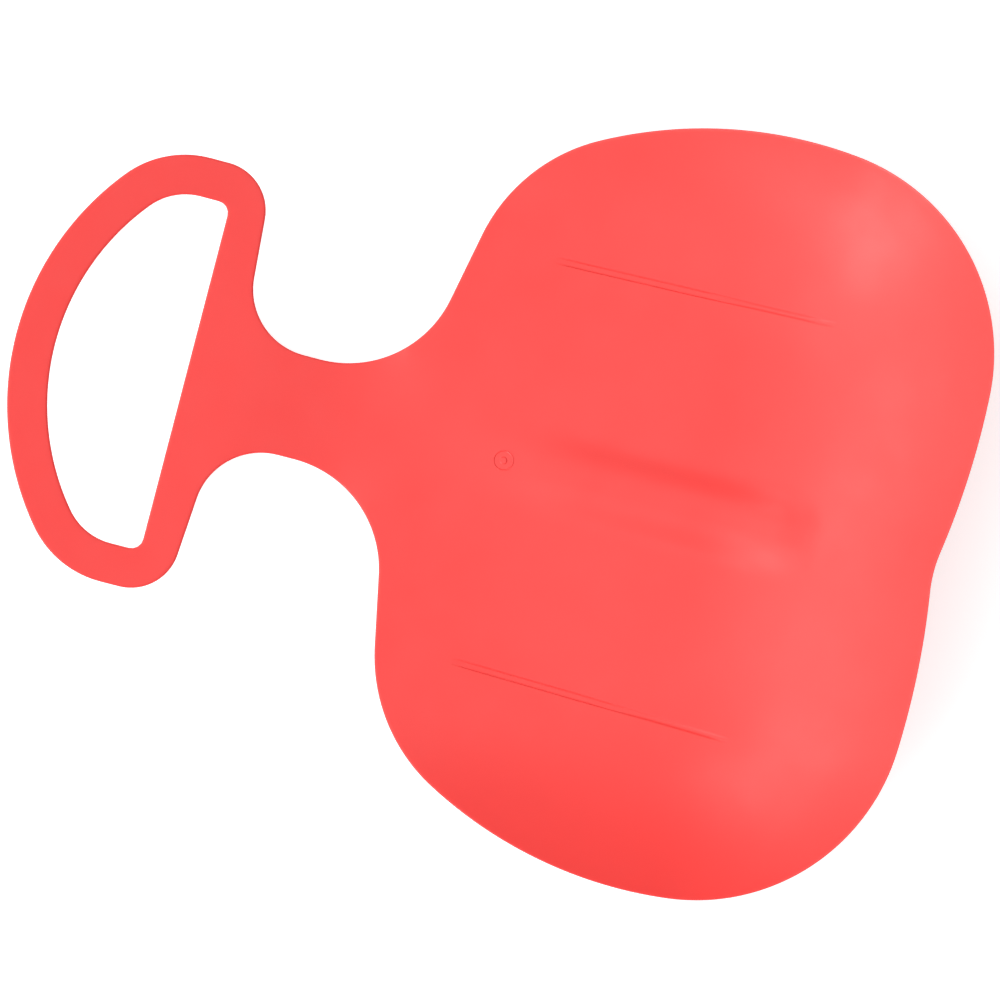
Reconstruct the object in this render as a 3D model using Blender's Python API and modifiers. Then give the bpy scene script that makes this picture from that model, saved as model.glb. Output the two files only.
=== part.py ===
"""Seat sled: a shallow heart-shaped dish with a neck and a D-shaped hand loop, moulded in one piece.

Metres. +X runs from the hand loop to the rear of the seat, +Z is up, and y = 0 is the plane of
symmetry. The origin is on the ground, below the middle of the outline. The sled is one skin of
plastic: its plan outline is traced as arcs, filled, cut on a grid, lifted to its height and
thickened. Its edges stand upright and are lightly rounded. Two straight runners stand below the
floor, and a shallow groove lies over each.
"""

import math

import bmesh
import bpy
from mathutils import Vector

# Hand loop, in plan
LOOP_DEPTH = 0.112  # front of the loop to its back edge, on the middle line
LOOP_SPAN = 0.220
BOW_RADIUS = 0.1445
LOOP_SHOULDER_RADIUS = 0.0505
LOOP_CORNER_RADIUS = 0.0245
LOOP_BACK_LEAN = math.radians(4.2)
GRIP_WIDTH = 0.0200
SLOT_DEPTH = 0.0670
SLOT_CORNER_RADIUS = 0.0060

# Neck, in plan
NECK_LENGTH = 0.0795  # back edge of the loop to the front edge of the seat, on the middle line
NECK_WIDTH = 0.0520
NECK_FRONT_RADIUS = 0.0340
NECK_REAR_RADIUS = 0.0570

# Seat, in plan
SEAT_LENGTH = 0.2880  # front edge on the middle line to the rearmost points
SEAT_WIDTH = 0.3860
SEAT_FRONT_LEAN = math.radians(11.4)
SEAT_SHOULDER_RADIUS = 0.0885
SIDE_RADIUS = 0.2170
WIDEST_BEFORE_REAR = 0.1195
REAR_CORNER_RADIUS = 0.1055
REAR_RADIUS = 0.4120
REARMOST_SPACING = 0.1440  # between the rearmost points of the two halves
NOTCH_RADIUS = 0.0680

# Heights and thicknesses
SKIN = 0.0030
GRIP_THICKNESS = 0.0050
EDGE_ROUNDING = 0.0011
RIM_HEIGHT = 0.0650  # underside of the rim above the floor's underside, at the rear
RIM_SWEEP = 0.0980  # how far ahead of the middle of the outline the rim begins to rise
WALL_RUN_FRONT = 0.0640
WALL_RUN_REAR = 0.1520
WALL_CURVE = 2.55  # power of the wall's rise, from nothing at the floor to steepest at the rim
NOSE_RISE = 0.0380  # front of the loop above the floor
NOSE_RUN = 0.2250
NOSE_CURVE = 1.5

# Ridge along the middle of the seat, which grows taller to the rear
RIDGE_FRONT_HEIGHT = 0.0029
RIDGE_REAR_HEIGHT = 0.0052
RIDGE_HALF_WIDTH = 0.0235
RIDGE_TOP_HALF_WIDTH = 0.0040
RIDGE_START_BEFORE_REAR = 0.2500
RIDGE_RAMP = 0.0650
RIDGE_END_BEFORE_REAR = 0.0600
RIDGE_FADE = 0.0260

# Runners below the floor, and the grooves over them
RUNNER_DEPTH = 0.0060
RUNNER_WIDTH = 0.0040
RUNNER_LENGTH = 0.1450
RUNNER_END_BEFORE_REAR = 0.0820
RUNNER_SPACING = 0.2125
RUNNER_TOE = math.radians(1.5)
RUNNER_FRONT_SLOPE = 0.0120
RUNNER_REAR_SLOPE = 0.0160
GROOVE_WIDTH = 0.0030
GROOVE_DEPTH = 0.0006

# How finely the curves are cut
GRID = 0.0130
EDGE_BAND = 0.0035  # width of the band of faces along every edge of the sheet
CHORD_ERROR = 0.0001
BLADE_STEP = 0.0060
SHORTEST_EDGE = 0.0006

PLASTIC_COLOUR = (0.93, 0.056, 0.052, 1.0)
PLASTIC_ROUGHNESS = 0.39

# Places along X that follow from the sizes above
FRONT_X = -(LOOP_DEPTH + NECK_LENGTH + SEAT_LENGTH) / 2
LOOP_BACK_X = FRONT_X + LOOP_DEPTH
SEAT_FRONT_X = LOOP_BACK_X + NECK_LENGTH
REAR_X = SEAT_FRONT_X + SEAT_LENGTH
SLOT_FRONT_X = FRONT_X + GRIP_WIDTH
SLOT_BACK_X = SLOT_FRONT_X + SLOT_DEPTH
FLOOR_Z = RUNNER_DEPTH


class Line:
    """A straight stretch of an outline, with the plastic on the right of its heading."""

    def __init__(self, through, heading):
        self.through = Vector(through)
        self.heading = Vector((math.cos(heading), math.sin(heading)))

    def inset(self, depth):
        moved = Line(self.through, 0.0)
        moved.heading = self.heading
        moved.through = self.through + depth * Vector((self.heading.y, -self.heading.x))
        return moved

    def nearest(self, point):
        return self.through + self.heading * (point - self.through).dot(self.heading)

    def run(self, start, end):
        return even_steps(start, end)


class Circle:
    """A bulging stretch of an outline, followed clockwise, with the plastic inside."""

    def __init__(self, centre, radius):
        self.centre = Vector(centre)
        self.radius = radius

    def inset(self, depth):
        return Circle(self.centre, self.radius - depth)

    def nearest(self, point):
        return self.centre + (point - self.centre).normalized() * self.radius

    def run(self, start, end):
        return arc(self.centre, start, end, clockwise=True)


def even_steps(start, end):
    """Points after start, up to and with end, no further apart than the grid."""
    count = max(1, math.ceil((end - start).length / GRID))
    return [start.lerp(end, i / count) for i in range(1, count + 1)]


def arc(centre, start, end, clockwise):
    """Points after start, up to and with end, close enough for the chord error and the grid."""
    radius = (start - centre).length
    turn = (end - centre).angle_signed(start - centre)
    if clockwise:
        turn = -(-turn % math.tau)
    else:
        turn = turn % math.tau
    step = min(2 * math.acos(1 - min(CHORD_ERROR / radius, 1.0)), GRID / radius)
    count = max(1, math.ceil(abs(turn) / step))
    first = math.atan2(start.y - centre.y, start.x - centre.x)
    angles = [first + turn * i / count for i in range(1, count + 1)]
    return [centre + radius * Vector((math.cos(a), math.sin(a))) for a in angles]


def crossings(first, second):
    """Where two lines or circles meet."""
    if isinstance(first, Circle) and isinstance(second, Line):
        first, second = second, first
    if isinstance(first, Line) and isinstance(second, Line):
        gap = second.through - first.through
        share = gap.cross(second.heading) / first.heading.cross(second.heading)
        return [first.through + first.heading * share]
    if isinstance(first, Line):
        foot = first.nearest(second.centre)
        half = math.sqrt(second.radius**2 - (foot - second.centre).length_squared)
        return [foot + first.heading * half, foot - first.heading * half]
    gap = second.centre - first.centre
    along = (gap.length_squared + first.radius**2 - second.radius**2) / (2 * gap.length)
    half = math.sqrt(first.radius**2 - along**2)
    foot = first.centre + gap.normalized() * along
    across = gap.orthogonal().normalized() * half
    return [foot + across, foot - across]


def trace(start, stretches, radii):
    """An outline along these stretches, with a fillet between each two.

    A negative radius is a hollow fillet, whose centre is outside the plastic. Where two
    stretches cross twice, the crossing that is further out and forward is meant.
    """
    points = [start]
    for before, after, radius in zip(stretches, stretches[1:], radii):
        found = crossings(before.inset(radius), after.inset(radius))
        centre = max(found, key=lambda p: p.y - p.x)
        enter = before.nearest(centre)
        leave = after.nearest(centre)
        points += before.run(points[-1], enter)
        points += arc(centre, enter, leave, clockwise=radius > 0)
    return points


def loop_stretches():
    """The bow of the hand loop and the straight top of its side."""
    bow = Circle((FRONT_X + BOW_RADIUS, 0.0), BOW_RADIUS)
    top = Line((LOOP_BACK_X, LOOP_SPAN / 2), 0.0)
    return bow, top


def outer_outline():
    """Half of the sled's outline, from the front of the loop round to the rear notch."""
    bow, top = loop_stretches()
    loop_back = Line((LOOP_BACK_X, 0.0), LOOP_BACK_LEAN - math.pi / 2)
    waist = Line((LOOP_BACK_X, NECK_WIDTH / 2), 0.0)
    seat_front = Line((SEAT_FRONT_X, 0.0), math.pi / 2 - SEAT_FRONT_LEAN)
    side = Circle((REAR_X - WIDEST_BEFORE_REAR, SEAT_WIDTH / 2 - SIDE_RADIUS), SIDE_RADIUS)
    rear = Circle((REAR_X - REAR_RADIUS, REARMOST_SPACING / 2), REAR_RADIUS)
    points = trace(
        Vector((FRONT_X, 0.0)),
        [bow, top, loop_back, waist, seat_front, side, rear],
        [
            LOOP_SHOULDER_RADIUS,
            LOOP_CORNER_RADIUS,
            -NECK_FRONT_RADIUS,
            -NECK_REAR_RADIUS,
            SEAT_SHOULDER_RADIUS,
            REAR_CORNER_RADIUS,
        ],
    )
    reach = math.sqrt((rear.radius + NOTCH_RADIUS) ** 2 - rear.centre.y**2)
    notch_centre = Vector((rear.centre.x + reach, 0.0))
    notch_start = rear.nearest(notch_centre)
    notch = Vector((notch_centre.x - NOTCH_RADIUS, 0.0))
    points += rear.run(points[-1], notch_start)
    points += arc(notch_centre, notch_start, notch, clockwise=False)
    return points


def slot_outline():
    """Half of the slot inside the loop, from its front round to its straight back edge."""
    bow, top = loop_stretches()
    slot_back = Line((SLOT_BACK_X, 0.0), -math.pi / 2)
    points = trace(
        Vector((SLOT_FRONT_X, 0.0)),
        [bow.inset(GRIP_WIDTH), top.inset(GRIP_WIDTH), slot_back],
        [LOOP_SHOULDER_RADIUS - GRIP_WIDTH, SLOT_CORNER_RADIUS],
    )
    return points + slot_back.run(points[-1], Vector((SLOT_BACK_X, 0.0)))


def half_sheet():
    """The closed outline of one half of the sheet, both its edges on the middle line too."""
    outer = outer_outline()
    slot = slot_outline()
    behind_slot = even_steps(outer[-1], slot[-1])
    before_slot = even_steps(slot[0], outer[0])
    return outer + behind_slot + slot[-2::-1] + before_slot[:-1]


def ease(share):
    """A smooth step from 0 to 1."""
    share = min(max(share, 0.0), 1.0)
    return share * share * (3 - 2 * share)


def rim_distance(point, rim):
    """How far inside the seat's rim a point lies, in plan."""
    least = math.inf
    for start, end in zip(rim, rim[1:]):
        edge = end - start
        share = min(max((point - start).dot(edge) / edge.length_squared, 0.0), 1.0)
        least = min(least, (point - start - edge * share).length)
    return least


def skin_height(point, rim):
    """Height of the skin's underside: floor, walls, nose and the ridge along the middle."""
    rear_share = ease((point.x + RIM_SWEEP) / (REAR_X + RIM_SWEEP))
    run = WALL_RUN_FRONT + (WALL_RUN_REAR - WALL_RUN_FRONT) * rear_share
    climb = max(1 - rim_distance(point, rim) / run, 0.0)
    wall = RIM_HEIGHT * rear_share * climb**WALL_CURVE
    nose = NOSE_RISE * max((FRONT_X + NOSE_RUN - point.x) / NOSE_RUN, 0.0) ** NOSE_CURVE
    side_share = (RIDGE_HALF_WIDTH - abs(point.y)) / (RIDGE_HALF_WIDTH - RIDGE_TOP_HALF_WIDTH)
    from_start = point.x - REAR_X + RIDGE_START_BEFORE_REAR
    from_end = REAR_X - RIDGE_END_BEFORE_REAR - point.x
    growth = min(max(from_start / (from_start + from_end), 0.0), 1.0)
    height = RIDGE_FRONT_HEIGHT + (RIDGE_REAR_HEIGHT - RIDGE_FRONT_HEIGHT) * growth
    ridge = height * ease(side_share) * ease(from_start / RIDGE_RAMP) * ease(from_end / RIDGE_FADE)
    return FLOOR_Z + nose + wall + ridge


def filled_curve(name, points, half_thickness=0.0):
    """A flat closed outline, filled, as a curve object in the XY plane."""
    curve = bpy.data.curves.new(name, "CURVE")
    curve.dimensions = "2D"
    curve.fill_mode = "BOTH"
    curve.extrude = half_thickness
    spline = curve.splines.new("POLY")
    spline.points.add(len(points) - 1)
    for place, point in zip(spline.points, points):
        place.co = (point.x, point.y, 0.0, 1.0)
    spline.use_cyclic_u = True
    return bpy.data.objects.new(name, curve)


def as_mesh(curve_object, collection):
    """The curve's shape as a mesh object with its caps welded; the curve is removed."""
    collection.objects.link(curve_object)
    bpy.context.view_layer.update()
    graph = bpy.context.evaluated_depsgraph_get()
    mesh = bpy.data.meshes.new_from_object(curve_object.evaluated_get(graph))
    name = curve_object.name
    place = curve_object.matrix_world.copy()
    curve = curve_object.data
    bpy.data.objects.remove(curve_object)
    bpy.data.curves.remove(curve)
    mesh_object = bpy.data.objects.new(name, mesh)
    mesh_object.matrix_world = place
    collection.objects.link(mesh_object)
    shape = bmesh.new()
    shape.from_mesh(mesh)
    bmesh.ops.remove_doubles(shape, verts=shape.verts, dist=1e-6)
    bmesh.ops.recalc_face_normals(shape, faces=shape.faces)
    shape.to_mesh(mesh)
    shape.free()
    return mesh_object


def cut_on_grid(shape):
    """Cuts the flat half sheet finely enough to take its height.

    A narrow band of faces follows every edge, and the rest is cut along a square grid.
    """
    bmesh.ops.dissolve_faces(shape, faces=shape.faces[:])
    band = bmesh.ops.inset_region(
        shape,
        faces=shape.faces[:],
        thickness=EDGE_BAND,
        use_boundary=True,
        use_even_offset=True,
    )["faces"]
    for axis, low, high in (
        (Vector((1, 0, 0)), FRONT_X, REAR_X),
        (Vector((0, 1, 0)), 0.0, SEAT_WIDTH / 2),
    ):
        for i in range(1, math.ceil((high - low) / GRID)):
            inner = [f for f in shape.faces if f not in band]
            edges = {e for f in inner for e in f.edges}
            verts = {v for f in inner for v in f.verts}
            bmesh.ops.bisect_plane(
                shape,
                geom=inner + list(edges) + list(verts),
                dist=1e-6,
                plane_co=axis * (low + i * GRID),
                plane_no=axis,
            )
    bmesh.ops.dissolve_degenerate(shape, dist=SHORTEST_EDGE, edges=shape.edges)


def thicken(shape):
    """Gives the half sheet its upper face, and upright edges all round but on the middle line."""
    shape.normal_update()
    rise = []
    for vert in shape.verts:
        grip_share = ease((SEAT_FRONT_X - vert.co.x) / NECK_LENGTH)
        thickness = SKIN + (GRIP_THICKNESS - SKIN) * grip_share
        rise.append((vert, thickness / abs(vert.normal.z)))
    bmesh.ops.extrude_face_region(shape, geom=shape.faces[:], use_keep_orig=True)
    for vert, height in rise:
        vert.co.z += height
    middle = [f for f in shape.faces if all(v.co.y < SHORTEST_EDGE / 2 for v in f.verts)]
    bmesh.ops.delete(shape, geom=middle, context="FACES")
    bmesh.ops.recalc_face_normals(shape, faces=shape.faces)


def make_skin(collection):
    """The whole moulding but for its runners: half a sheet, lifted, thickened and mirrored."""
    skin = as_mesh(filled_curve("sled_body", half_sheet()), collection)
    rim = [p for p in outer_outline() if p.x > SEAT_FRONT_X]
    shape = bmesh.new()
    shape.from_mesh(skin.data)
    cut_on_grid(shape)
    for vert in shape.verts:
        vert.co.z = skin_height(vert.co.xy, rim)
    thicken(shape)
    shape.to_mesh(skin.data)
    shape.free()
    skin.data.shade_smooth()

    mirror = skin.modifiers.new("other_half", "MIRROR")
    mirror.use_axis = (False, True, False)
    mirror.merge_threshold = 0.0001
    rounding = skin.modifiers.new("rounded_edge", "BEVEL")
    rounding.width = EDGE_ROUNDING
    rounding.segments = 2
    rounding.limit_method = "ANGLE"
    rounding.angle_limit = math.radians(35)
    skin.modifiers.new("flat_faces", "TRIANGULATE")
    return skin


def runner_line():
    """Start and direction of the right-hand runner's middle line, in plan."""
    end_x = REAR_X - RUNNER_END_BEFORE_REAR
    direction = Vector((math.cos(RUNNER_TOE), math.sin(RUNNER_TOE)))
    middle = Vector((end_x - RUNNER_LENGTH / 2, RUNNER_SPACING / 2))
    return middle - direction * RUNNER_LENGTH / 2, direction


def skin_surface(skin, place, from_above):
    """Height of the skin's upper or lower face at a place in plan."""
    graph = bpy.context.evaluated_depsgraph_get()
    height = 1.0 if from_above else -1.0
    hit, where, _, _ = skin.evaluated_get(graph).ray_cast(
        Vector((place.x, place.y, height)), Vector((0, 0, -height))
    )
    return where.z


def blade(name, profile, width, collection):
    """An upright blade on the runner's line: profile holds (distance along it, height)."""
    start, direction = runner_line()
    outline = filled_curve(name, [Vector(p) for p in profile], width / 2)
    outline.location = (start.x, start.y, 0.0)
    outline.rotation_euler = (math.pi / 2, 0.0, math.atan2(direction.y, direction.x))
    made = as_mesh(outline, collection)
    mirror = made.modifiers.new("other_side", "MIRROR")
    mirror.mirror_object = mirror_plane(collection)
    mirror.use_axis = (False, True, False)
    mirror.merge_threshold = 0.0001
    made.hide_render = True
    made.display_type = "WIRE"
    return made


def mirror_plane(collection):
    """An empty at the origin, which the blades are mirrored about."""
    plane = bpy.data.objects.get("middle_plane")
    if plane is None:
        plane = bpy.data.objects.new("middle_plane", None)
        collection.objects.link(plane)
    return plane


def stations(skin, from_above):
    """(distance along the runner, height of the skin there) at even steps."""
    start, direction = runner_line()
    count = math.ceil(RUNNER_LENGTH / BLADE_STEP)
    steps = [RUNNER_LENGTH * i / count for i in range(count + 1)]
    return [(s, skin_surface(skin, start + direction * s, from_above)) for s in steps]


def make_runners(skin, collection):
    """Both runners: flat along the ground, sloped at each end, sunk halfway into the skin."""
    top = [(s, z + SKIN / 2) for s, z in stations(skin, from_above=False)]
    ground = [(RUNNER_LENGTH - RUNNER_REAR_SLOPE, 0.0), (RUNNER_FRONT_SLOPE, 0.0)]
    return blade("runner_blades", top + ground, RUNNER_WIDTH, collection)


def make_grooves(skin, collection):
    """The space of both grooves: shallow in the upper face, and open above it."""
    bottom = [(s, z - GROOVE_DEPTH) for s, z in stations(skin, from_above=True)]
    top_z = bottom[-1][1] + RIM_HEIGHT
    return blade(
        "groove_spaces",
        bottom + [(RUNNER_LENGTH, top_z), (0.0, top_z)],
        GROOVE_WIDTH,
        collection,
    )


def plastic():
    """Satin coral red, coloured right through."""
    material = bpy.data.materials.new("coral_plastic")
    material.use_nodes = True
    shader = material.node_tree.nodes["Principled BSDF"]
    shader.inputs["Base Color"].default_value = PLASTIC_COLOUR
    shader.inputs["Roughness"].default_value = PLASTIC_ROUGHNESS
    shader.inputs["Metallic"].default_value = 0.0
    return material


def main():
    for old in list(bpy.data.objects):
        bpy.data.objects.remove(old)
    parts = bpy.data.collections.new("seat_sled")
    helpers = bpy.data.collections.new("cutters")
    bpy.context.scene.collection.children.link(parts)
    bpy.context.scene.collection.children.link(helpers)

    sled = make_skin(parts)
    bpy.context.view_layer.update()
    runners = make_runners(sled, helpers)
    grooves = make_grooves(sled, helpers)
    for name, operation, blades in (
        ("runners", "UNION", runners),
        ("grooves", "DIFFERENCE", grooves),
    ):
        joint = sled.modifiers.new(name, "BOOLEAN")
        joint.operation = operation
        joint.object = blades
        joint.solver = "EXACT"
    sled.data.materials.append(plastic())
    sled.data.set_sharp_from_angle(angle=math.radians(40))


main()
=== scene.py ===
"""Looks of a seat sled: one coral-red moulding of a dished seat, a neck and a D-shaped hand loop.

Metres. +X runs from the hand loop to the rear of the seat, +Z is up and y = 0 is the plane of
symmetry. The sled stands on its two runners on a plain pale floor, seen from straight above.
"""

import logging
import math
from dataclasses import dataclass, field
from enum import Enum

import bmesh
import bpy
import numpy as np
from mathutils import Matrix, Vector


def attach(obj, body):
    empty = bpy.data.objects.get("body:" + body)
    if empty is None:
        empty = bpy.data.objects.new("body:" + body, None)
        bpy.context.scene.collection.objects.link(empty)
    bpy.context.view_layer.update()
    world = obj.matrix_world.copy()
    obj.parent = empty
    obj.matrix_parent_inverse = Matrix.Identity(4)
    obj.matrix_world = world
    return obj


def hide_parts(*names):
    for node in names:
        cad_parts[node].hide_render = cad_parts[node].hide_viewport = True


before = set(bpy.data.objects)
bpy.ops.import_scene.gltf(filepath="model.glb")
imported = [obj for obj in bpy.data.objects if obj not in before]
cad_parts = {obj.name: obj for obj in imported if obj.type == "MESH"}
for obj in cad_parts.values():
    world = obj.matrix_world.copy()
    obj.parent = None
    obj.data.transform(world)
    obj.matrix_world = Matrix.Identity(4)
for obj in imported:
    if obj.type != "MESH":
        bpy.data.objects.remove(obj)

log = logging.getLogger("seat_sled")

POINTS_AT_ONCE = 4000  # how many points are measured to the rim together
LEAST_SQUARE = 1e-12  # keeps a point on the rim from dividing by nothing
FACING_UP = 0.9  # least height of a normal that points up


class Side(Enum):
    """The two halves of the sled."""

    RIGHT = 1.0
    LEFT = -1.0


# Helpers of the bench


def deselect_all() -> None:
    """Clears the selection, so that an operator acts only on what follows."""
    if bpy.context.object and bpy.context.object.mode != "OBJECT":
        bpy.ops.object.mode_set(mode="OBJECT")
    bpy.ops.object.select_all(action="DESELECT")


def activate(piece: bpy.types.Object) -> None:
    """Makes one piece the only selected and active object.

    Args:
        piece: The object to work on.
    """
    deselect_all()
    piece.select_set(True)
    bpy.context.view_layer.objects.active = piece


def edit_all(piece: bpy.types.Object) -> None:
    """Opens a piece in edit mode with all of it selected.

    Args:
        piece: The mesh object to edit.
    """
    activate(piece)
    bpy.ops.object.mode_set(mode="EDIT")
    bpy.ops.mesh.select_mode(type="FACE")
    bpy.ops.mesh.select_all(action="SELECT")


def close_edit() -> None:
    """Leaves edit mode."""
    bpy.ops.object.mode_set(mode="OBJECT")


def apply_modifiers(piece: bpy.types.Object) -> None:
    """Applies every modifier of a piece in order.

    Args:
        piece: The object whose modifiers are applied.
    """
    activate(piece)
    for modifier in list(piece.modifiers):
        bpy.ops.object.modifier_apply(modifier=modifier.name)


def settle(piece: bpy.types.Object) -> None:
    """Puts a piece's place, turn and scale into its mesh.

    Args:
        piece: The object to settle at the origin.
    """
    activate(piece)
    bpy.ops.object.transform_apply(location=True, rotation=True, scale=True)


def points_of(piece: bpy.types.Object) -> np.ndarray:
    """Reads a mesh's points.

    Args:
        piece: The mesh object.

    Returns:
        An array of one row of x, y, z for each point.
    """
    places = np.zeros(len(piece.data.vertices) * 3)
    piece.data.vertices.foreach_get("co", places)
    return places.reshape(-1, 3)


def set_points(piece: bpy.types.Object, places: np.ndarray) -> None:
    """Writes a mesh's points back.

    Args:
        piece: The mesh object.
        places: One row of x, y, z for each point.
    """
    piece.data.vertices.foreach_set("co", places.ravel())
    piece.data.update()


def smooth_step(share: np.ndarray) -> np.ndarray:
    """A smooth step from 0 to 1.

    Args:
        share: Values that are held between 0 and 1.

    Returns:
        The eased values.
    """
    held = np.clip(share, 0.0, 1.0)
    return held * held * (3.0 - 2.0 * held)


# The plan of the sled, traced as lines and arcs


@dataclass(frozen=True)
class Line:
    """A straight stretch of an outline, with the plastic on the right of its heading."""

    through: tuple[float, float]
    heading: float

    def direction(self) -> Vector:
        """The unit vector along the line."""
        return Vector((math.cos(self.heading), math.sin(self.heading)))

    def inset(self, depth: float) -> "Line":
        """The same line moved into the plastic by a depth."""
        along = self.direction()
        moved = Vector(self.through) + depth * Vector((along.y, -along.x))
        return Line(tuple(moved), self.heading)

    def nearest(self, point: Vector) -> Vector:
        """The foot of a point on the line."""
        along = self.direction()
        return Vector(self.through) + along * (point - Vector(self.through)).dot(along)

    def run(self, start: Vector, end: Vector, step: float) -> list[Vector]:
        """Points after start, up to and with end, along the line."""
        return even_steps(start, end, step)


@dataclass(frozen=True)
class Circle:
    """A bulging stretch of an outline, followed clockwise, with the plastic inside."""

    centre: tuple[float, float]
    radius: float

    def inset(self, depth: float) -> "Circle":
        """The same circle drawn in by a depth."""
        return Circle(self.centre, self.radius - depth)

    def nearest(self, point: Vector) -> Vector:
        """The point of the circle nearest to a point."""
        centre = Vector(self.centre)
        return centre + (point - centre).normalized() * self.radius

    def run(self, start: Vector, end: Vector, step: float) -> list[Vector]:
        """Points after start, up to and with end, along the circle."""
        return arc(Vector(self.centre), start, end, True, step)


def even_steps(start: Vector, end: Vector, step: float) -> list[Vector]:
    """Divides a straight stretch evenly.

    Args:
        start: Its first point, which is left out.
        end: Its last point.
        step: The most that two points lie apart.

    Returns:
        The points after start, up to and with end.
    """
    count = max(1, math.ceil((end - start).length / step))
    return [start.lerp(end, i / count) for i in range(1, count + 1)]


def arc(centre: Vector, start: Vector, end: Vector, clockwise: bool, step: float) -> list[Vector]:
    """Divides an arc evenly.

    Args:
        centre: Its centre.
        start: Its first point, which is left out.
        end: Its last point.
        clockwise: Which way round it goes.
        step: The most that two points lie apart.

    Returns:
        The points after start, up to and with end.
    """
    radius = (start - centre).length
    turn = (end - centre).angle_signed(start - centre)
    turn = -(-turn % math.tau) if clockwise else turn % math.tau
    count = max(2, math.ceil(abs(turn) * radius / step))
    first = math.atan2(start.y - centre.y, start.x - centre.x)
    angles = [first + turn * i / count for i in range(1, count + 1)]
    return [centre + radius * Vector((math.cos(a), math.sin(a))) for a in angles]


def crossings(first: Line | Circle, second: Line | Circle) -> list[Vector]:
    """Where two lines or circles meet.

    Args:
        first: One stretch.
        second: The other.

    Returns:
        One point for two lines, and two points otherwise.
    """
    if isinstance(first, Circle) and isinstance(second, Line):
        first, second = second, first
    if isinstance(first, Line) and isinstance(second, Line):
        gap = Vector(second.through) - Vector(first.through)
        share = gap.cross(second.direction()) / first.direction().cross(second.direction())
        return [Vector(first.through) + first.direction() * share]
    if isinstance(first, Line):
        foot = first.nearest(Vector(second.centre))
        half = math.sqrt(second.radius**2 - (foot - Vector(second.centre)).length_squared)
        return [foot + first.direction() * half, foot - first.direction() * half]
    gap = Vector(second.centre) - Vector(first.centre)
    along = (gap.length_squared + first.radius**2 - second.radius**2) / (2 * gap.length)
    half = math.sqrt(first.radius**2 - along**2)
    foot = Vector(first.centre) + gap.normalized() * along
    across = gap.orthogonal().normalized() * half
    return [foot + across, foot - across]


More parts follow.
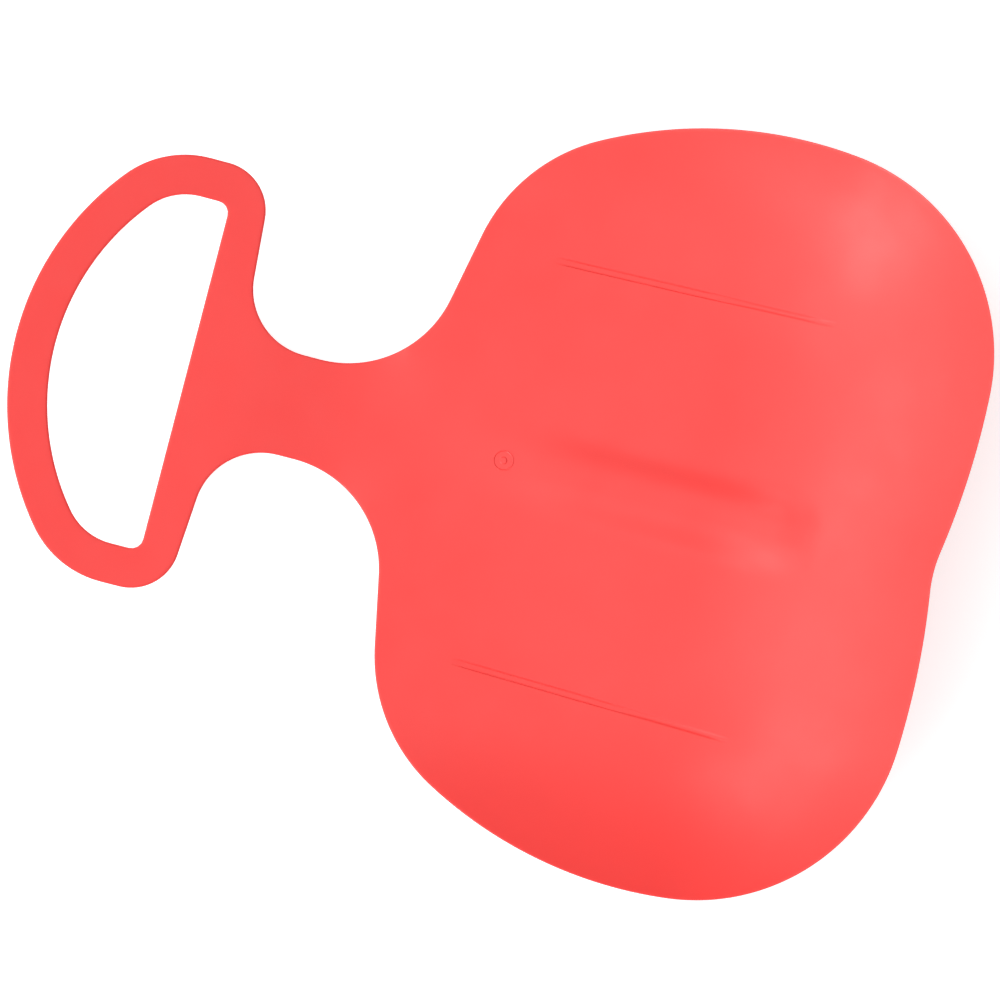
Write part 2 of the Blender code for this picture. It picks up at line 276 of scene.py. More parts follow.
@dataclass
class SledPlan:
    """The outline of the sled and of its hand slot, seen from above."""

    loop_depth: float = 0.112
    loop_span: float = 0.220
    bow_radius: float = 0.1445
    loop_shoulder_radius: float = 0.0505
    loop_corner_radius: float = 0.0245
    loop_back_lean: float = math.radians(4.2)
    grip_width: float = 0.020
    slot_depth: float = 0.067
    slot_corner_radius: float = 0.006
    neck_length: float = 0.0795
    neck_width: float = 0.052
    neck_front_radius: float = 0.034
    neck_rear_radius: float = 0.057
    seat_length: float = 0.288
    seat_width: float = 0.386
    seat_front_lean: float = math.radians(11.4)
    seat_shoulder_radius: float = 0.0885
    side_radius: float = 0.217
    widest_before_rear: float = 0.1195
    rear_corner_radius: float = 0.1055
    rear_radius: float = 0.412
    rearmost_spacing: float = 0.144
    notch_radius: float = 0.068
    step: float = 0.0025

    @property
    def front_x(self) -> float:
        """The front of the hand loop."""
        return -(self.loop_depth + self.neck_length + self.seat_length) / 2

    @property
    def loop_back_x(self) -> float:
        """The back edge of the loop on the middle line."""
        return self.front_x + self.loop_depth

    @property
    def seat_front_x(self) -> float:
        """The front edge of the seat on the middle line."""
        return self.loop_back_x + self.neck_length

    @property
    def rear_x(self) -> float:
        """The rearmost points of the seat."""
        return self.seat_front_x + self.seat_length

    def trace(
        self, start: Vector, stretches: list[Line | Circle], radii: list[float]
    ) -> list[Vector]:
        """Follows these stretches, with a fillet between each two.

        Args:
            start: Where the outline starts.
            stretches: Lines and circles in order.
            radii: One fillet for each corner; a negative one is hollow.

        Returns:
            The points up to the end of the last fillet.
        """
        points = [start]
        for before, after, radius in zip(stretches, stretches[1:], radii):
            found = crossings(before.inset(radius), after.inset(radius))
            centre = max(found, key=lambda p: p.y - p.x)
            enter = before.nearest(centre)
            leave = after.nearest(centre)
            points += before.run(points[-1], enter, self.step)
            points += arc(centre, enter, leave, radius > 0, self.step)
        return points

    def loop_stretches(self) -> tuple[Circle, Line]:
        """The bow of the hand loop and the straight top of its side."""
        bow = Circle((self.front_x + self.bow_radius, 0.0), self.bow_radius)
        top = Line((self.loop_back_x, self.loop_span / 2), 0.0)
        return bow, top

    def outer(self) -> list[Vector]:
        """Half of the outline, from the front of the loop round to the rear notch."""
        bow, top = self.loop_stretches()
        side_centre = (self.rear_x - self.widest_before_rear, self.seat_width / 2 - self.side_radius)
        rear = Circle((self.rear_x - self.rear_radius, self.rearmost_spacing / 2), self.rear_radius)
        points = self.trace(
            Vector((self.front_x, 0.0)),
            [
                bow,
                top,
                Line((self.loop_back_x, 0.0), self.loop_back_lean - math.pi / 2),
                Line((self.loop_back_x, self.neck_width / 2), 0.0),
                Line((self.seat_front_x, 0.0), math.pi / 2 - self.seat_front_lean),
                Circle(side_centre, self.side_radius),
                rear,
            ],
            [
                self.loop_shoulder_radius,
                self.loop_corner_radius,
                -self.neck_front_radius,
                -self.neck_rear_radius,
                self.seat_shoulder_radius,
                self.rear_corner_radius,
            ],
        )
        rear_centre = Vector(rear.centre)
        reach = math.sqrt((rear.radius + self.notch_radius) ** 2 - rear_centre.y**2)
        notch_centre = Vector((rear_centre.x + reach, 0.0))
        notch_start = rear.nearest(notch_centre)
        notch = Vector((notch_centre.x - self.notch_radius, 0.0))
        points += rear.run(points[-1], notch_start, self.step)
        points += arc(notch_centre, notch_start, notch, False, self.step)
        return points

    def slot(self) -> list[Vector]:
        """Half of the hand slot, from its front round to its straight back edge."""
        bow, top = self.loop_stretches()
        front = self.front_x + self.grip_width
        back = front + self.slot_depth
        points = self.trace(
            Vector((front, 0.0)),
            [
                bow.inset(self.grip_width),
                top.inset(self.grip_width),
                Line((back, 0.0), -math.pi / 2),
            ],
            [self.loop_shoulder_radius - self.grip_width, self.slot_corner_radius],
        )
        return points + even_steps(points[-1], Vector((back, 0.0)), self.step)

    def half_sheet(self) -> list[Vector]:
        """The closed outline of the right half, with its edges on the middle line."""
        outer = self.outer()
        slot = self.slot()
        behind_slot = even_steps(outer[-1], slot[-1], 2 * self.step)
        before_slot = even_steps(slot[0], outer[0], 2 * self.step)
        return outer + behind_slot + slot[-2::-1] + before_slot[:-1]

    def rim(self) -> np.ndarray:
        """The seat's rim, both halves, as evenly spaced points."""
        right = [p for p in self.outer() if p.x > self.seat_front_x]
        both = right + [Vector((p.x, -p.y)) for p in reversed(right[:-1])]
        dense: list[Vector] = [both[0]]
        for start, end in zip(both, both[1:]):
            dense += even_steps(start, end, self.step / 4)
        return np.array(dense)


# Heights over the plan


@dataclass
class Runner:
    """A straight runner under the floor and the shallow groove over it."""

    plan: SledPlan
    depth: float = 0.006
    half_foot: float = 0.0013
    half_width: float = 0.002
    foot_rounding: float = 0.0009
    root_fillet: float = 0.0013
    root_fillet_height: float = 0.0014
    length: float = 0.145
    end_before_rear: float = 0.082
    spacing: float = 0.2125
    toe: float = math.radians(1.5)
    front_slope: float = 0.012
    rear_slope: float = 0.016
    slope_extra: float = 0.003
    groove_half_width: float = 0.0015
    groove_wall: float = 0.0004
    groove_depth: float = 0.0003
    groove_rear_half_width: float = 0.0011
    groove_rear_wall: float = 0.0014
    groove_rear_depth: float = 0.0006
    groove_rear_from: float = 0.5
    groove_rear_blend: float = 0.25
    score_half_width: float = 0.0004
    score_depth: float = 0.0003
    groove_front_fade: float = 0.007
    groove_rear_fade: float = 0.010
    wall_cut: float = 0.0001
    fillet_cuts: tuple[float, float] = (0.5, 1.3)

    @property
    def middle_x(self) -> float:
        """The middle of the runner's length."""
        return self.plan.rear_x - self.end_before_rear - self.length / 2

    def across_and_along(self, x: np.ndarray, y: np.ndarray) -> tuple[np.ndarray, np.ndarray]:
        """Places measured from the runner's own line.

        Args:
            x: Places along the sled.
            y: Places to its side; both halves count alike.

        Returns:
            The distance off the line, and the distance along it from its front end.
        """
        dx = x - self.middle_x
        dy = np.abs(y) - self.spacing / 2
        cos, sin = math.cos(self.toe), math.sin(self.toe)
        return dy * cos - dx * sin, dx * cos + dy * sin + self.length / 2

    def cut_offsets(self) -> list[float]:
        """Distances off the line at which the sheet is cut, to hold both profiles."""
        edge = self.groove_half_width
        right = [
            self.half_foot / 2,
            edge - self.score_half_width,
            edge,
            edge + self.score_half_width,
            self.half_width + self.wall_cut,
            *(self.half_width + share * self.root_fillet for share in self.fillet_cuts),
        ]
        return [-offset for offset in reversed(right)] + [0.0] + right

    def below(self, x: np.ndarray, y: np.ndarray, skin: np.ndarray) -> np.ndarray:
        """How far the underside is drawn down at each place.

        Args:
            x: Places along the sled.
            y: Places to its side.
            skin: Height of the plain underside there.

        Returns:
            The depth to take off the underside's height.
        """
        across, along = self.across_and_along(x, y)
        across = np.abs(across)
        from_front = self.front_slope - along
        from_rear = along - self.length + self.rear_slope
        up_slope = np.maximum(np.maximum(from_front, from_rear), 0.0)
        slope = np.where(along < self.length / 2, self.front_slope, self.rear_slope)
        reach = np.maximum(skin - up_slope / slope * (self.depth + self.slope_extra), 0.0)
        edge = np.clip((across - self.half_foot) / (self.half_width - self.half_foot), 0.0, 1.0)
        rounding = self.foot_rounding * (1.0 - np.sqrt(1.0 - edge * edge))
        inside = np.where(across <= self.half_width, reach - rounding, 0.0)
        off = np.clip((across - self.half_width) / self.root_fillet, 0.0, 1.0)
        hollow = 1.0 - np.sqrt(np.maximum(1.0 - (1.0 - off) ** 2, 0.0))
        fillet = self.root_fillet_height * hollow
        outside = np.where(across > self.half_width, np.minimum(fillet, reach), 0.0)
        live = (along > 0.0) & (along < self.length)
        return np.where(live, np.maximum(np.maximum(inside, 0.0), outside), 0.0)

    def groove(self, x: np.ndarray, y: np.ndarray) -> np.ndarray:
        """Depth of the groove in the upper face.

        In front it is a flat bed between two fine scored lines, and at the rear one V.

        Args:
            x: Places along the sled.
            y: Places to its side.

        Returns:
            The depth to take off the upper face's height.
        """
        across, along = self.across_and_along(x, y)
        rear = smooth_step((along / self.length - self.groove_rear_from) / self.groove_rear_blend)
        half_width = self.groove_half_width
        half_width = half_width + (self.groove_rear_half_width - half_width) * rear
        wall = self.groove_wall + (self.groove_rear_wall - self.groove_wall) * rear
        edge = half_width - np.abs(across)
        inside = smooth_step(edge / wall + 0.5)
        score = np.maximum(1.0 - np.abs(edge) / self.score_half_width, 0.0)
        front_end = smooth_step(along / self.groove_front_fade)
        rear_end = np.clip((self.length - along) / self.groove_rear_fade, 0.0, 1.0)
        depth = self.groove_depth + (self.groove_rear_depth - self.groove_depth) * rear
        return front_end * rear_end * (depth * inside + self.score_depth * (1.0 - rear) * score)


@dataclass
class SledRelief:
    """Heights of the sled's two faces over its plan."""

    plan: SledPlan
    floor: float = 0.006
    skin: float = 0.003
    grip_thickness: float = 0.005
    rim_height: float = 0.065
    rim_sweep: float = 0.098
    wall_run_front: float = 0.064
    wall_run_rear: float = 0.152
    wall_curve: float = 2.55
    nose_rise: float = 0.038
    nose_run: float = 0.225
    nose_curve: float = 1.5
    ridge_front_height: float = 0.0029
    ridge_rear_height: float = 0.0052
    ridge_half_width: float = 0.0235
    ridge_top_half_width: float = 0.004
    ridge_start_before_rear: float = 0.250
    ridge_ramp: float = 0.065
    ridge_end_before_rear: float = 0.060
    ridge_fade: float = 0.026
    softness: float = 12.0
    plain_steps: int = 4
    blend_steps: int = 8
    rim_points: np.ndarray = field(init=False)

    def __post_init__(self) -> None:
        """Traces the rim once."""
        self.rim_points = self.plan.rim()

    def rim_distance(self, x: np.ndarray, y: np.ndarray) -> np.ndarray:
        """Distance to the seat's rim, with the creases between its sides smoothed away.

        Args:
            x: Places along the sled.
            y: Places to its side.

        Returns:
            The distances.
        """
        power = self.softness
        spacing = np.linalg.norm(self.rim_points[1] - self.rim_points[0])
        plain_width = self.plain_steps * spacing
        blend_width = self.blend_steps * spacing
        norm = math.sqrt(math.pi) * math.gamma((power - 1) / 2) / math.gamma(power / 2)
        result = np.zeros(len(x))
        for start in range(0, len(x), POINTS_AT_ONCE):
            part = slice(start, start + POINTS_AT_ONCE)
            gap_x = x[part, None] - self.rim_points[None, :, 0]
            gap_y = y[part, None] - self.rim_points[None, :, 1]
            square = np.maximum(gap_x * gap_x + gap_y * gap_y, LEAST_SQUARE)
            least = np.sqrt(square.min(axis=1))
            total = ((least[:, None] ** 2 / square) ** (power / 2)).sum(axis=1) * spacing
            soft = least * (norm * least / total) ** (1.0 / (power - 1))
            blend = smooth_step((least - plain_width) / blend_width)
            result[part] = least + (soft - least) * blend
        return result

    def under(self, x: np.ndarray, y: np.ndarray) -> np.ndarray:
        """Height of the plain underside: floor, walls, nose and the ridge along the middle.

        Args:
            x: Places along the sled.
            y: Places to its side.

        Returns:
            The heights.
        """
        plan = self.plan
        rear_share = smooth_step((x + self.rim_sweep) / (plan.rear_x + self.rim_sweep))
        run = self.wall_run_front + (self.wall_run_rear - self.wall_run_front) * rear_share
        climb = np.maximum(1.0 - self.rim_distance(x, y) / run, 0.0)
        wall = self.rim_height * rear_share * climb**self.wall_curve
        nose_share = np.maximum((plan.front_x + self.nose_run - x) / self.nose_run, 0.0)
        nose = self.nose_rise * nose_share**self.nose_curve
        side_share = (self.ridge_half_width - np.abs(y)) / (
            self.ridge_half_width - self.ridge_top_half_width
        )
        from_start = x - plan.rear_x + self.ridge_start_before_rear
        from_end = plan.rear_x - self.ridge_end_before_rear - x
        growth = np.clip(from_start / (from_start + from_end), 0.0, 1.0)
        rise = self.ridge_rear_height - self.ridge_front_height
        ridge = (self.ridge_front_height + rise * growth) * smooth_step(side_share)
        ridge *= smooth_step(from_start / self.ridge_ramp) * smooth_step(from_end / self.ridge_fade)
        return self.floor + nose + wall + ridge

    def thickness(self, x: np.ndarray) -> np.ndarray:
        """How thick the plastic is: the skin of the seat, and more in the neck and the loop.

        Args:
            x: Places along the sled.

        Returns:
            The thickness square to the skin.
        """
        grip_share = smooth_step((self.plan.seat_front_x - x) / self.plan.neck_length)
        return self.skin + (self.grip_thickness - self.skin) * grip_share


# Finishes


def noise(tree: bpy.types.NodeTree, scale: float, detail: float) -> bpy.types.NodeSocket:
    """Adds a noise that keeps its place on the piece.

    Args:
        tree: The node tree to add it to.
        scale: How many swells it has in a metre.
        detail: How many finer layers lie on them.

    Returns:
        Its level.
    """
    place = tree.nodes.new("ShaderNodeTexCoord")
    swells = tree.nodes.new("ShaderNodeTexNoise")
    swells.inputs["Scale"].default_value = scale
    swells.inputs["Detail"].default_value = detail
    tree.links.new(place.outputs["Object"], swells.inputs["Vector"])
    return swells.outputs["Fac"]


def remap(
    tree: bpy.types.NodeTree,
    level: bpy.types.NodeSocket,
    source: tuple[float, float],
    target: tuple[float, float],
) -> bpy.types.NodeSocket:
    """Stretches a level from one range to another, and holds it there.

    Args:
        tree: The node tree to add it to.
        level: The level to stretch.
        source: The range that it comes in.
        target: The range that it leaves in.

    Returns:
        The new level.
    """
    span = tree.nodes.new("ShaderNodeMapRange")
    for end, value in zip(("From Min", "From Max", "To Min", "To Max"), (*source, *target)):
        span.inputs[end].default_value = value
    tree.links.new(level, span.inputs["Value"])
    return span.outputs["Result"]


def bump(
    tree: bpy.types.NodeTree, level: bpy.types.NodeSocket, height: float
) -> bpy.types.Node:
    """Adds a relief too fine for the mesh.

    Args:
        tree: The node tree to add it to.
        level: Its shape, as a level.
        height: How high it stands.

    Returns:
        The node, which takes and gives a normal.
    """
    relief = tree.nodes.new("ShaderNodeBump")
    relief.inputs["Strength"].default_value = 1.0
    relief.inputs["Distance"].default_value = height
    tree.links.new(level, relief.inputs["Height"])
    return relief


@dataclass(frozen=True)
class SatinPlastic:
    """Moulded plastic, coloured right through, with a fine satin grain."""

    name: str = "coral_satin_plastic"
    colour: tuple[float, float, float] = (0.935, 0.0520, 0.0470)
    deep_colour: tuple[float, float, float] = (0.925, 0.0490, 0.0440)
    refraction: float = 1.49
    tint_scale: float = 14.0
    tint_detail: float = 3.0
    tint_range: tuple[float, float] = (0.35, 0.65)
    roughness: float = 0.40
    roughness_swing: float = 0.04
    haze_scale: float = 55.0
    haze_detail: float = 5.0
    haze_range: tuple[float, float] = (0.3, 0.7)
    grain_scale: float = 1500.0
    grain_detail: float = 2.0
    grain_height: float = 0.00002
    flow_scale: float = 9.0
    flow_detail: float = 1.0
    flow_height: float = 0.0004

    def build(self) -> bpy.types.Material:
        """Makes the material.

        Returns:
            The node material.
        """
        material = bpy.data.materials.new(self.name)
        material.use_nodes = True
        tree = material.node_tree
        shader = tree.nodes["Principled BSDF"]
        shader.inputs["Metallic"].default_value = 0.0
        shader.inputs["IOR"].default_value = self.refraction
        tree.links.new(self.tint(tree), shader.inputs["Base Color"])
        haze = noise(tree, self.haze_scale, self.haze_detail)
        dull = (self.roughness - self.roughness_swing, self.roughness + self.roughness_swing)
        tree.links.new(remap(tree, haze, self.haze_range, dull), shader.inputs["Roughness"])
        grain = bump(tree, noise(tree, self.grain_scale, self.grain_detail), self.grain_height)
        flow = bump(tree, noise(tree, self.flow_scale, self.flow_detail), self.flow_height)
        tree.links.new(grain.outputs["Normal"], flow.inputs["Normal"])
        tree.links.new(flow.outputs["Normal"], shader.inputs["Normal"])
        return material

    def tint(self, tree: bpy.types.NodeTree) -> bpy.types.NodeSocket:
        """Lets the colour drift a little between two shades.

        Args:
            tree: The material's node tree.

        Returns:
            The colour.
        """
        drift = noise(tree, self.tint_scale, self.tint_detail)
        mix = tree.nodes.new("ShaderNodeMix")
        mix.data_type = "RGBA"
        mix.inputs["A"].default_value = (*self.deep_colour, 1.0)
        mix.inputs["B"].default_value = (*self.colour, 1.0)
        share = remap(tree, drift, self.tint_range, (0.0, 1.0))
        tree.links.new(share, mix.inputs["Factor"])
        return mix.outputs["Result"]


def seen_rays(tree: bpy.types.NodeTree) -> bpy.types.NodeSocket:
    """Tells the rays that show the backdrop: the camera's, and those of gloss and clear stuff.

    Args:
        tree: The node tree to add the test to.

    Returns:
        A socket that is 1 for such a ray and 0 for the light that falls on the sled.
    """
    path = tree.nodes.new("ShaderNodeLightPath")
    total = path.outputs["Is Camera Ray"]
    for kind in ("Is Glossy Ray", "Is Transmission Ray"):
        either = tree.nodes.new("ShaderNodeMath")
        either.operation = "MAXIMUM"
        tree.links.new(total, either.inputs[0])
        tree.links.new(path.outputs[kind], either.inputs[1])
        total = either.outputs["Value"]
    return total


@dataclass(frozen=True)
class PaleFloor:
    """A plain white floor that keeps a soft shadow under the sled."""

    name: str = "pale_floor"
    colour: tuple[float, float, float] = (0.85, 0.85, 0.85)
    roughness: float = 0.9
    glow: float = 0.65
    near: float = 0.45
    far: float = 1.4

    def build(self) -> bpy.types.Material:
        """Makes the material.

        Returns:
            The node material.
        """
        material = bpy.data.materials.new(self.name)
        material.use_nodes = True
        tree = material.node_tree
        shader = tree.nodes["Principled BSDF"]
        shader.inputs["Base Color"].default_value = (*self.colour, 1.0)
        shader.inputs["Roughness"].default_value = self.roughness
        shader.inputs["Specular IOR Level"].default_value = 0.0
        shader.inputs["Emission Color"].default_value = (1.0, 1.0, 1.0, 1.0)
        place = tree.nodes.new("ShaderNodeTexCoord")
        reach = tree.nodes.new("ShaderNodeVectorMath")
        reach.operation = "LENGTH"
        tree.links.new(place.outputs["Object"], reach.inputs[0])
        spread = remap(tree, reach.outputs["Value"], (self.near, self.far), (self.glow, 1.0))
        level = tree.nodes.new("ShaderNodeMath")
        level.operation = "MULTIPLY"
        tree.links.new(seen_rays(tree), level.inputs[0])
        tree.links.new(spread, level.inputs[1])
        tree.links.new(level.outputs["Value"], shader.inputs["Emission Strength"])
        return material


# The sled


@dataclass
class SledBody:
    """The whole moulding: one skin with upright edges, its grooves and its runners."""

    plan: SledPlan
    relief: SledRelief
    runner: Runner
    name: str = "sled_shell"
    edge_band: float = 0.003
    grid: float = 0.006
    seam_weld: float = 0.0001
    cut_tolerance: float = 1e-6
    lift: float = 1.0
    edge_rounding: float = 0.0008
    edge_segments: int = 3
    least_grid_edge: float = 0.0006
    least_runner_edge: float = 0.0002
    runner_margin: float = 0.006
    runner_end_margin: float = 0.004
    upright_tilt: float = 0.02
    full_wall_share: float = 0.8
    sharp_angle: float = math.radians(38)

    def build(self) -> bpy.types.Object:
        """Makes the moulding.

        Returns:
            The finished mesh object.
        """
        piece = self.flat_half()
        self.mirror_half(piece)
        self.cut(piece)
        self.raise_faces(piece)
        self.round_edges(piece)
        activate(piece)
        bpy.ops.object.shade_smooth_by_angle(angle=self.sharp_angle)
        settle(piece)
        return piece

    def flat_half(self) -> bpy.types.Object:
        """Fills the outline of one half and makes it a mesh of one face.

        Returns:
            The flat half sheet.
        """
        outline = self.plan.half_sheet()
        curve = bpy.data.curves.new(self.name, "CURVE")
        curve.dimensions = "2D"
        curve.fill_mode = "NONE"
        spline = curve.splines.new("POLY")
        spline.points.add(len(outline) - 1)
        for place, point in zip(spline.points, outline):
            place.co = (point.x, point.y, 0.0, 1.0)
        spline.use_cyclic_u = True
        piece = bpy.data.objects.new(self.name, curve)
        bpy.context.scene.collection.objects.link(piece)
        activate(piece)
        bpy.ops.object.convert(target="MESH")
        piece = bpy.context.object
        activate(piece)
        bpy.ops.object.mode_set(mode="EDIT")
        bpy.ops.mesh.select_mode(type="EDGE")
        bpy.ops.mesh.select_all(action="SELECT")
        bpy.ops.mesh.edge_face_add()
        close_edit()
        return piece

    def cut(self, piece: bpy.types.Object) -> None:
        """Cuts the flat sheet finely enough to take its heights.

        Args:
            piece: The flat sheet, both halves.
        """
        edit_all(piece)
        bpy.ops.mesh.inset(thickness=self.edge_band, use_boundary=True, use_even_offset=True)
        bpy.ops.mesh.hide(unselected=True)
        for i in range(1, math.ceil((self.plan.rear_x - self.plan.front_x) / self.grid)):
            self.slice((self.plan.front_x + i * self.grid, 0.0, 0.0), (1.0, 0.0, 0.0))
        for i in range(1, math.ceil(self.plan.seat_width / 2 / self.grid)):
            self.slice((0.0, i * self.grid, 0.0), (0.0, 1.0, 0.0))
            self.slice((0.0, -i * self.grid, 0.0), (0.0, 1.0, 0.0))
        bpy.ops.mesh.reveal(select=False)
        bpy.ops.mesh.select_all(action="SELECT")
        bpy.ops.mesh.dissolve_degenerate(threshold=self.least_grid_edge)
        for side in Side:
            self.cut_at_runner(piece, side)
        bpy.ops.mesh.select_all(action="SELECT")
        bpy.ops.mesh.dissolve_degenerate(threshold=self.least_runner_edge)
        bpy.ops.mesh.vert_connect_concave()
        close_edit()
        halving = piece.modifiers.new("halving", "SUBSURF")
        halving.subdivision_type = "SIMPLE"
        halving.levels = halving.render_levels = 1
        apply_modifiers(piece)

    def slice(self, place: tuple[float, float, float], normal: tuple[float, float, float]) -> None:
        """Cuts every face in view along a plane.

        Args:
            place: A point of the plane.
            normal: The direction square to it.
        """
        bpy.ops.mesh.select_all(action="SELECT")
        bpy.ops.mesh.bisect(plane_co=place, plane_no=normal, threshold=self.cut_tolerance)

    def cut_at_runner(self, piece: bpy.types.Object, side: Side) -> None:
        """Cuts lines along a runner, close enough together for its walls.

        Args:
            piece: The sheet, in edit mode.
            side: Which runner.
        """
        runner = self.runner
        margin = self.runner_margin
        shape = bmesh.from_edit_mesh(piece.data)
        for face in shape.faces:
            middle = face.calc_center_median()
            across, along = runner.across_and_along(middle.x, middle.y)
            near = abs(across) < margin and -margin < along < runner.length + margin
            face.select_set(near and middle.y * side.value > 0)
        shape.select_flush_mode()
        bmesh.update_edit_mesh(piece.data)
        bpy.ops.mesh.hide(unselected=True)
        toe = runner.toe * side.value
        heading = Vector((math.cos(toe), math.sin(toe), 0.0))
        normal = Vector((-math.sin(toe), math.cos(toe), 0.0))
        middle = Vector((runner.middle_x, side.value * runner.spacing / 2, 0.0))
        for offset in runner.cut_offsets():
            self.slice(middle + normal * offset, normal)
        half = runner.length / 2
        for offset in (-half, -half + runner.front_slope, half - runner.rear_slope, half):
            self.slice(middle + heading * offset, heading)
        bpy.ops.mesh.reveal(select=False)

    def mirror_half(self, piece: bpy.types.Object) -> None:
        """Adds the other half.

        Args:
            piece: The flat half sheet.
        """
        mirror = piece.modifiers.new("other_half", "MIRROR")
        mirror.use_axis = (False, True, False)
        mirror.merge_threshold = self.seam_weld
        apply_modifiers(piece)

    def raise_faces(self, piece: bpy.types.Object) -> None:
        """Extrudes the sheet, with a lift that tells its two faces apart, and sets their heights.

        Args:
            piece: The whole flat sheet.
        """
        places = points_of(piece)
        places[:, 2] = self.relief.under(places[:, 0], places[:, 1])
        set_points(piece, places)
        leans = np.zeros(len(places) * 3)
        piece.data.vertex_normals.foreach_get("vector", leans)
        rise = self.relief.thickness(places[:, 0]) / np.abs(leans[2::3])
        stored = piece.data.attributes.new("rise", "FLOAT", "POINT")
        stored.data.foreach_set("value", rise.astype(np.float32))
        edit_all(piece)
        bpy.ops.mesh.extrude_region_move(TRANSFORM_OT_translate={"value": (0.0, 0.0, self.lift)})
        close_edit()
        places = points_of(piece)
        rise = np.zeros(len(places))
        piece.data.attributes["rise"].data.foreach_get("value", rise)
        upper = places[:, 2] > self.lift
        x, y = places[:, 0], places[:, 1]
        under = places[:, 2] - self.lift * upper
        lower_z = under - self.runner.below(x, y, under)
        upper_z = under + rise - self.runner.groove(x, y)
        places[:, 2] = np.where(upper, upper_z, lower_z)
        set_points(piece, places)
        piece.data.attributes.remove(piece.data.attributes["rise"])
        edit_all(piece)
        bpy.ops.mesh.normals_make_consistent(inside=False)
        close_edit()

    def round_edges(self, piece: bpy.types.Object) -> None:
        """Rounds the edges of the rim and of the slot.

        Args:
            piece: The raised moulding.
        """
        edit_all(piece)
        bpy.ops.mesh.select_all(action="DESELECT")
        bpy.ops.mesh.select_mode(type="EDGE")
        shape = bmesh.from_edit_mesh(piece.data)
        for edge in shape.edges:
            if len(edge.link_faces) != 2:
                continue
            upright = [abs(face.normal.z) < self.upright_tilt for face in edge.link_faces]
            wall = edge.link_faces[upright.index(True)] if any(upright) else None
            if upright[0] != upright[1] and self.is_rim_wall(wall):
                edge.select_set(True)
        bmesh.update_edit_mesh(piece.data)
        bpy.ops.mesh.bevel(
            offset=self.edge_rounding, segments=self.edge_segments, affect="EDGES"
        )
        close_edit()

    def is_rim_wall(self, wall: bmesh.types.BMFace) -> bool:
        """Tells a wall of the rim or slot from the walls of a runner or groove.

        Args:
            wall: An upright face.

        Returns:
            Whether it reaches from the lower face to the upper one.
        """
        heights = [vert.co.z for vert in wall.verts]
        middle = wall.calc_center_median()
        across, along = self.runner.across_and_along(np.array([middle.x]), np.array([middle.y]))
        ends = (-self.runner_end_margin, self.runner.length + self.runner_end_margin)
        by_runner = abs(across[0]) < self.runner_margin and ends[0] < along[0] < ends[1]
        full = max(heights) - min(heights) > self.full_wall_share * self.relief.skin
        return full and not by_runner

    def dress(self, piece: bpy.types.Object, finish: bpy.types.Material) -> None:
        """Gives the moulding its finish.

        Args:
            piece: The moulding.
            finish: Its material.
        """
        piece.data.materials.clear()
        piece.data.materials.append(finish)


@dataclass
class GateMark:
    """The plain round mark where the plastic entered the mould."""

    relief: SledRelief
    name: str = "gate_mark"
    place: tuple[float, float] = (0.0125, 0.0)
    radius: float = 0.0052
    height: float = 0.0004
    sunk: float = 0.0008
    sides: int = 72
    lip_width: float = 0.0004
    flank_width: float = 0.0003
    bed_width: float = 0.0026
    edge_rounding: float = 0.00012
    edge_segments: int = 2
    rounded_from: float = math.radians(25)
    sharp_angle: float = math.radians(50)

    def build(self) -> bpy.types.Object:
        """Makes the mark, leaning with the floor under it.

        Returns:
            The finished mesh object.
        """
        x = self.place[0] + np.array([-self.radius, 0.0, self.radius])
        y = np.full(len(x), self.place[1])
        front, top, rear = self.relief.under(x, y) + self.relief.thickness(x)
        deselect_all()
        bpy.ops.mesh.primitive_cylinder_add(
            vertices=self.sides,
            radius=self.radius,
            depth=self.sunk + self.height,
            location=(*self.place, top + (self.height - self.sunk) / 2),
            rotation=(0.0, -math.atan2(rear - front, 2 * self.radius), 0.0),
        )
        piece = bpy.context.object
        piece.name = self.name
        settle(piece)
        edit_all(piece)
        bpy.ops.mesh.select_all(action="DESELECT")
        shape = bmesh.from_edit_mesh(piece.data)
        for face in shape.faces:
            face.select_set(face.normal.z > FACING_UP)
        bmesh.update_edit_mesh(piece.data)
        for lip, step in ((self.lip_width, -self.height), (self.bed_width, self.height)):
            bpy.ops.mesh.inset(thickness=lip)
            bpy.ops.mesh.inset(thickness=self.flank_width)
            bpy.ops.transform.translate(value=(0.0, 0.0, step))
        bpy.ops.mesh.inset(thickness=self.lip_width)
        close_edit()
        rounding = piece.modifiers.new("soft_edges", "BEVEL")
        rounding.width = self.edge_rounding
        rounding.segments = self.edge_segments
        rounding.limit_method = "ANGLE"
        rounding.angle_limit = self.rounded_from
        apply_modifiers(piece)
        activate(piece)
        bpy.ops.object.shade_smooth_by_angle(angle=self.sharp_angle)
        settle(piece)
        return piece

    def dress(self, piece: bpy.types.Object, finish: bpy.types.Material) -> None:
        """Gives the mark the moulding's finish.

        Args:
            piece: The mark.
            finish: Its material.
        """
        piece.data.materials.clear()
        piece.data.materials.append(finish)


# The studio


@dataclass(frozen=True)
class SoftLamp:
    """A soft box that hangs at a distance and faces the sled."""

    name: str
    towards: tuple[float, float, float]
    width: float
    height: float
    power: float
    distance: float = 2.0

    def hang(self) -> None:
        """Adds the lamp to the scene; the camera doesn't see it."""
        data = bpy.data.lights.new(self.name, "AREA")
        data.shape = "RECTANGLE"
        data.size = self.width
        data.size_y = self.height
        data.energy = self.power
        lamp = bpy.data.objects.new(self.name, data)
        bpy.context.scene.collection.objects.link(lamp)
        direction = Vector(self.towards).normalized()
        lamp.location = direction * self.distance
        lamp.rotation_euler = direction.to_track_quat("Z", "Y").to_euler()
        lamp.visible_camera = False


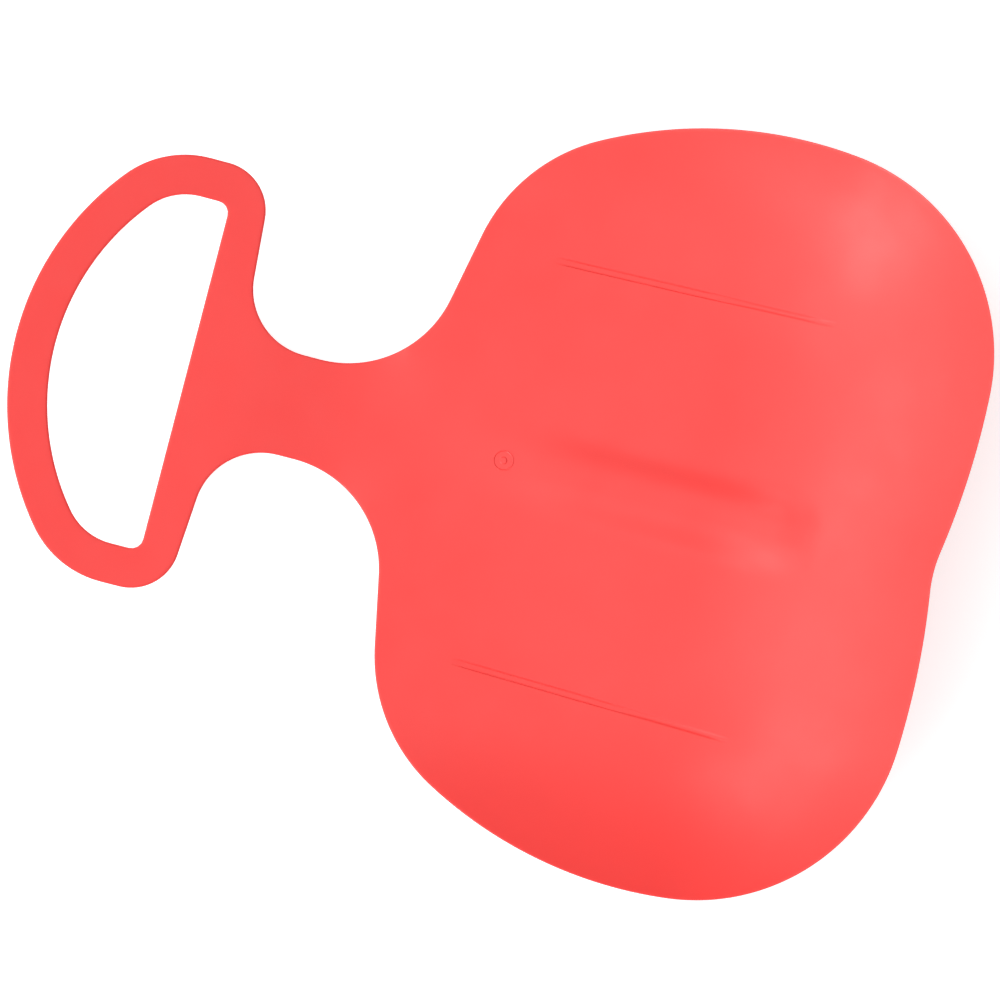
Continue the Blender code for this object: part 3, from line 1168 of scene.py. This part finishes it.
@dataclass
class Studio:
    """The floor, the soft lamps and the camera straight above."""

    floor_size: float = 12.0
    floor_drop: float = 0.0001
    camera_place: tuple[float, float] = (0.01586, -0.0197)
    camera_turn: float = math.radians(14.6)
    camera_height: float = 6.0
    framed_height: float = 0.060
    framed_width: float = 0.500
    nearest_seen: float = 0.1
    farthest_seen: float = 50.0
    sky_strength: float = 0.15
    lamps: tuple[SoftLamp, ...] = (
        SoftLamp("low_box", (-0.48, -0.81, 0.34), 0.8, 1.3, 17.6),
        SoftLamp("front_left_box", (-0.53, -0.38, 0.76), 2.0, 1.45, 14.5),
        SoftLamp("front_right_box", (-0.79, 0.37, 0.49), 1.6, 1.15, 14.0),
        SoftLamp("front_strip", (-0.91, -0.31, 0.28), 2.2, 1.0, 9.0),
        SoftLamp("right_box", (-0.39, 0.57, 0.72), 0.5, 0.5, 2.6),
        SoftLamp("top_box", (0.0, 0.0, 1.0), 2.0, 2.35, 16.4),
    )

    def build(self) -> None:
        """Sets up everything that isn't the sled."""
        self.floor()
        self.sky()
        for lamp in self.lamps:
            lamp.hang()
        self.camera()
        bpy.context.scene.view_settings.view_transform = "Standard"

    def floor(self) -> None:
        """Lays the floor under the runners."""
        deselect_all()
        bpy.ops.mesh.primitive_plane_add(
            size=self.floor_size, location=(0.0, 0.0, -self.floor_drop)
        )
        floor = bpy.context.object
        floor.name = "studio_floor"
        floor.data.materials.append(PaleFloor().build())

    def sky(self) -> None:
        """Lights the scene evenly from all round, white where the camera sees it."""
        world = bpy.data.worlds.new("soft_sky")
        world.use_nodes = True
        bpy.context.scene.world = world
        tree = world.node_tree
        background = tree.nodes["Background"]
        background.inputs["Color"].default_value = (1.0, 1.0, 1.0, 1.0)
        level = remap(tree, seen_rays(tree), (0.0, 1.0), (self.sky_strength, 1.0))
        tree.links.new(level, background.inputs["Strength"])

    def camera(self) -> None:
        """Sets the camera straight above, turned as the photograph is."""
        data = bpy.data.cameras.new("above")
        camera = bpy.data.objects.new("above", data)
        bpy.context.scene.collection.objects.link(camera)
        reach = self.camera_height - self.framed_height
        data.lens = data.sensor_width * reach / self.framed_width
        data.clip_start = self.nearest_seen
        data.clip_end = self.farthest_seen
        camera.location = (*self.camera_place, self.camera_height)
        camera.rotation_euler = (0.0, 0.0, self.camera_turn)
        bpy.context.scene.camera = camera


def main() -> None:
    """Builds the sled and its studio."""
    logging.basicConfig(level=logging.INFO, format="%(message)s")
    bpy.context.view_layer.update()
    plan = SledPlan()
    relief = SledRelief(plan)
    runner = Runner(plan)
    plastic = SatinPlastic().build()

    body = SledBody(plan, relief, runner)
    shell = body.build()
    body.dress(shell, plastic)
    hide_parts("sled_body")
    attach(shell, "root")
    log.info("%s: %d points, %d faces", shell.name, len(shell.data.vertices), len(shell.data.polygons))

    mark = GateMark(relief)
    gate = mark.build()
    mark.dress(gate, plastic)
    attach(gate, "root")
    log.info("%s: %d faces", gate.name, len(gate.data.polygons))

    Studio().build()
    bpy.context.view_layer.update()


if __name__ == "__main__":
    main()
